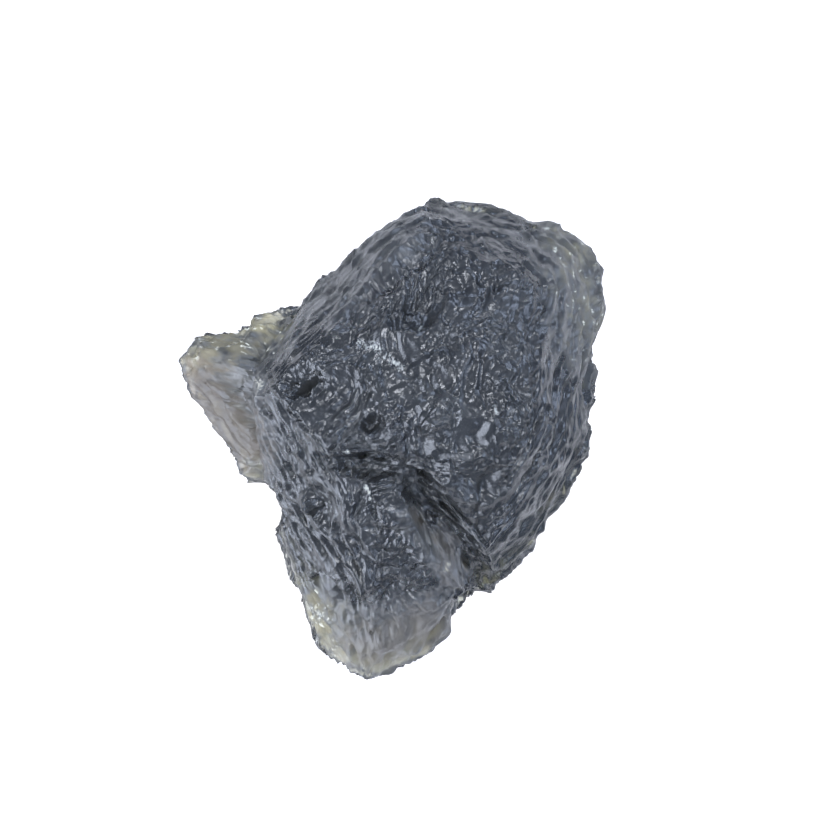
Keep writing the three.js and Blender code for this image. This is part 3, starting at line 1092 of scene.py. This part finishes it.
@dataclass
class Moldavite:
    """The stone itself: one closed piece of glass."""

    form: StoneForm = field(default_factory=StoneForm)
    skin: StoneSkin = field(default_factory=StoneSkin)
    glass: MoldaviteGlass = field(default_factory=MoldaviteGlass)
    speck_cover: float = 0.7
    speck_mm: float = 0.22
    ragged_mm: float = 0.25
    wander_mm: float = 0.8
    patch_mm: float = 0.55
    patch_grain_mm: float = 0.25
    chip_and_glint_fade: float = 0.7
    soil_fade: float = 0.6
    frost_and_backlight_fade: float = 0.7
    coarse: BallGrid = BallGrid(32)
    coarse_rounds: int = 90
    fine: BallGrid = BallGrid(129)
    fine_rounds: int = 6
    least_facing: float = 0.25
    # Pale chips and worn spots. Some strokes are painted glints and painted light on a lit crest.
    chips_and_glints: tuple[Mark, ...] = (
        # The next four strokes: a splinter ridge, pale as a chip and partly painted light on its lit
        # crest.
        Mark(-1.9, 6.1, -1.5, 5.8, 0.25, 0.50),
        Mark(-1.1, 5.9, -0.7, 5.6, 0.36, 0.52),
        Mark(-0.8, 5.1, 0.2, 5.3, 0.22, 0.40),
        Mark(-0.3, 5.2, 0.5, 4.6, 0.36, 0.50),
        # The next four strokes: an abraded corner and a pale splinter.
        Mark(-8.3, 3.8, -8.1, 3.4, 0.30, 0.60),
        Mark(-8.4, 3.3, -8.3, 2.8, 0.18, 0.45),
        Mark(-1.6, -2.7, -1.35, -3.1, 0.16, 0.66),
        Mark(-1.35, -3.1, -1.3, -3.5, 0.14, 0.60),
        # The next six strokes are painted glints and painted highlights near the wing's tip.
        Mark(6.4, 1.8, 6.3, 2.2, 0.14, 0.62),
        Mark(3.4, -7.9, 3.55, -7.6, 0.20, 0.66),
        Mark(1.7, 6.8, 1.9, 7.0, 0.14, 0.55),
        Mark(-2.8, -0.6, -2.6, -0.6, 0.14, 0.6),
        Mark(-12.7, 5.0, -12.5, 5.1, 0.22, 0.6),
        Mark(-11.2, 5.9, -11.0, 5.8, 0.16, 0.5),
        Mark(-9.2, -0.9, -9.3, -1.3, 0.30, 0.45),
        # This stroke is painted light: a pale spot where light shines through the thin lobe.
        Mark(-4.9, -10.6, -4.5, -11.4, 0.60, 0.45),
        Mark(9.6, 13.3, 9.8, 13.3, 0.16, 0.6),
    )
    soils: tuple[Mark, ...] = (
        Mark(1.2, -4.2, 1.9, -5.0, 0.35, 0.40),
        Mark(3.2, -6.0, 3.8, -8.2, 0.80, 0.40),
        Mark(0.9, 11.5, 1.4, 11.2, 0.35, 0.20),
        Mark(3.2, -0.9, 4.8, -0.9, 0.14, 0.25),
        Mark(-11.8, 3.2, -9.7, -0.2, 2.2, 0.62),
        Mark(-10.4, 4.6, -9.2, 3.6, 1.2, 0.30),
        Mark(-1.5, -13.0, 2.2, -11.3, 1.8, 0.45),
    )
    # Frosted patches. On the thin wing, lobe and edges their pale warm colour is also painted light,
    # standing for light that shines through from below.
    frosts_and_backlight: tuple[Mark, ...] = (
        Mark(-4.8, -10.2, -4.4, -11.6, 0.9, 1.0),
        Mark(-4.4, -10.5, -3.4, -12.5, 1.4, 0.5),
        Mark(-2.0, -13.5, 2.5, -12.0, 1.8, 0.25),
        Mark(11.0, 12.0, 12.5, 6.5, 1.8, 0.60),
        Mark(-12.0, 5.8, -8.5, 7.2, 1.6, 1.0),
        Mark(-12.0, 4.0, -9.5, -0.5, 2.4, 0.15),
        Mark(-3.5, 9.0, 0.5, 12.5, 1.5, 0.15),
        Mark(1.0, -4.6, 3.2, -7.4, 0.7, 0.22),
    )

    def surface(self) -> tuple[Array, Array, dict[Layer, Array]]:
        """Works out the whole skin.

        A coarse grid is evened out first and carried to the fine one. Each fine vertex then
        moves along its direction from the heart by relief / (normal · direction), and nothing
        goes below the level that the stone rests on.

        Returns:
            Points in mm (N by 3), the cells (M by 4) and the values kept at the vertices.
        """
        directions, quads, place = self.coarse.build()
        directions = self.form.even_out(directions, quads, self.coarse_rounds)
        points, _dug = self.form.skin(directions)
        spread, quads = self.coarse.carry(points - self.form.heart, place, self.fine)
        directions = spread / np.linalg.norm(spread, axis=1, keepdims=True)
        directions = self.form.even_out(directions, quads, self.fine_rounds)
        points, dug = self.form.skin(directions)
        normals = vertex_normals(points, quads)
        if (normals * directions).sum() < 0:
            normals, quads = -normals, quads[:, ::-1]
        relief = self.skin.relief(self.form, points, normals, dug)
        facing = np.maximum((normals * directions).sum(axis=1), self.least_facing)
        etched = points + directions * (relief.height / facing)[:, None]
        etched[:, 2] = np.maximum(etched[:, 2], 0.0)
        etched[:, :2] -= self.form.centre
        ragged = wave(etched / self.ragged_mm, 101) + 0.5 * wave(etched / self.wander_mm, 102)
        patches = wave(etched / self.patch_mm, 103) + 0.7 * wave(etched / self.patch_grain_mm, 104)
        specks = ease(0.25, 0.6, wave(etched / self.speck_mm, 105))
        # Frost, partly painted light: pale where thin parts would glow from below, with patchy strength.
        frost_and_backlight = cover_by(self.frosts_and_backlight, etched, normals, ragged, self.frost_and_backlight_fade)
        frost_and_backlight *= np.clip(0.8 + 0.7 * patches, 0.1, 1.7)
        layers = {
            Layer.GRAIN: relief.grain,
            Layer.FLOW: relief.flow,
            # Pale chips, painted glints, and the pale specks inside frost.
            Layer.CHIP_AND_GLINT: np.maximum(
                cover_by(self.chips_and_glints, etched, normals, ragged, self.chip_and_glint_fade),
                self.speck_cover * specks * np.minimum(frost_and_backlight * 2.0, 1.0),
            ),
            Layer.SOIL: cover_by(self.soils, etched, normals, ragged, self.soil_fade),
            Layer.FROST_AND_BACKLIGHT: frost_and_backlight,
            Layer.ETCH: relief.etch * (1.0 - 0.5 * np.minimum(frost_and_backlight, 1.0)),
        }
        return etched, quads, layers

    def build(self) -> bpy.types.Object:
        """Makes the stone's mesh, with its smooth shading, vertex values and glass.

        Returns:
            The object.
        """
        points, quads, layers = self.surface()
        mesh = bpy.data.meshes.new("moldavite_stone")
        mesh.vertices.add(len(points))
        mesh.vertices.foreach_set("co", (points * MM).ravel())
        mesh.loops.add(quads.size)
        mesh.loops.foreach_set("vertex_index", quads.ravel())
        mesh.polygons.add(len(quads))
        mesh.polygons.foreach_set("loop_start", np.arange(0, quads.size, 4))
        mesh.update(calc_edges=True)
        mesh.validate()
        mesh.shade_smooth()
        for layer, values in layers.items():
            vector = values.ndim == 2
            kind = "FLOAT_VECTOR" if vector else "FLOAT"
            kept = mesh.attributes.new(layer.value, kind, "POINT")
            kept.data.foreach_set("vector" if vector else "value", values.ravel())
        stone = bpy.data.objects.new("moldavite_stone", mesh)
        bpy.context.scene.collection.objects.link(stone)
        mesh.materials.append(self.glass.build())
        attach(stone, "root")
        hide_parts("moldavite")
        return stone


@dataclass(frozen=True)
class Lamp:
    """A soft lamp: where it stands and its side, in mm, its radiance in W/sr/m², its colour."""

    name: str
    x: float
    y: float
    z: float
    side: float
    radiance: float
    colour: str


@dataclass
class Studio:
    """A glowing white table in a dim blue tent, with four soft lamps and three for sparkle."""

    table_size: float = 1200.0
    table: str = "ccd0d8"
    glow: str = "fff6e6"
    table_glow: float = 0.85
    tent: str = "8fb2f6"
    tent_strength: float = 0.27
    lamps: tuple[Lamp, ...] = (
        Lamp("lamp_back", -45, 250, 160, 150, 7.0, "d2e2ff"),
        Lamp("lamp_front", 140, -165, 210, 150, 4.0, "d2e2ff"),
        Lamp("lamp_left", -234, -150, 105, 200, 10.0, "dfe8fa"),
        Lamp("lamp_right", 255, 40, 130, 150, 7.0, "d2e2ff"),
        Lamp("spark_front", 60, -105, 275, 42, 62.0, "f0f5ff"),
        Lamp("spark_left", -130, 50, 265, 42, 62.0, "f0f5ff"),
        Lamp("spark_back", 75, 130, 260, 42, 50.0, "f0f5ff"),
    )
    camera_x: float = 1.35
    camera_y: float = 1.78
    camera_z: float = 260.0
    lens: float = 177.1
    sensor: float = 36.0

    def build_table(self) -> bpy.types.Object:
        """Makes the table: one flat square of matt white that glows, so that shadows fade."""
        half = self.table_size / 2 * MM
        mesh = bpy.data.meshes.new("table")
        corners = [(-half, -half, 0), (half, -half, 0), (half, half, 0), (-half, half, 0)]
        mesh.from_pydata(corners, [], [(0, 1, 2, 3)])
        table = bpy.data.objects.new("table", mesh)
        bpy.context.scene.collection.objects.link(table)
        material = bpy.data.materials.new("matt_white_acrylic")
        material.use_nodes = True
        tree = material.node_tree
        tree.nodes.clear()
        matt = add_node(
            tree,
            "ShaderNodeBsdfPrincipled",
            in_Base_Color=linear(self.table),
            in_Roughness=0.9,
            in_Emission_Color=linear(self.glow),
            in_Emission_Strength=self.table_glow,
        )
        add_node(tree, "ShaderNodeOutputMaterial", in_Surface=matt.outputs[0])
        mesh.materials.append(material)
        return table

    def build_light(self) -> None:
        """Lights the tent and hangs the lamps, each turned to the stone."""
        scene = bpy.context.scene
        scene.world = bpy.data.worlds.new("tent")
        scene.world.use_nodes = True
        tree = scene.world.node_tree
        tree.nodes.clear()
        glow = add_node(
            tree,
            "ShaderNodeBackground",
            in_Color=linear(self.tent),
            in_Strength=self.tent_strength,
        )
        add_node(tree, "ShaderNodeOutputWorld", in_Surface=glow.outputs[0])
        for lamp in self.lamps:
            light = bpy.data.lights.new(lamp.name, "AREA")
            light.size = lamp.side * MM
            light.energy = lamp.radiance * math.pi * (lamp.side * MM) ** 2
            light.color = linear(lamp.colour)[:3]
            hung = bpy.data.objects.new(lamp.name, light)
            away = np.array([lamp.x, lamp.y, lamp.z]) * MM
            flat = math.hypot(away[0], away[1])
            hung.location = away
            hung.rotation_euler = (
                math.atan2(flat, away[2]),
                0.0,
                math.atan2(away[1], away[0]) + math.pi / 2,
            )
            scene.collection.objects.link(hung)

    def build_camera(self) -> None:
        """Hangs the camera over the stone, looking straight down."""
        lens = bpy.data.cameras.new("camera")
        lens.lens = self.lens
        lens.sensor_width = self.sensor
        lens.clip_start = 0.01
        camera = bpy.data.objects.new("camera", lens)
        camera.location = (self.camera_x * MM, self.camera_y * MM, self.camera_z * MM)
        bpy.context.scene.collection.objects.link(camera)
        bpy.context.scene.camera = camera

    def build(self) -> None:
        """Sets up the table, the light, the camera and a plain view of the colours."""
        self.build_table()
        self.build_light()
        self.build_camera()
        bpy.context.scene.view_settings.view_transform = "Standard"


def main() -> None:
    """Builds the stone and the studio."""
    logging.basicConfig(level=logging.INFO, format="%(name)s: %(message)s")
    stone = Moldavite().build()
    counts = len(stone.data.vertices), len(stone.data.polygons)
    LOG.info("%s: %d vertices, %d cells", stone.name, *counts)
    Studio().build()
    LOG.info("studio: table, tent, lamps and camera")


if __name__ == "__main__":
    main()
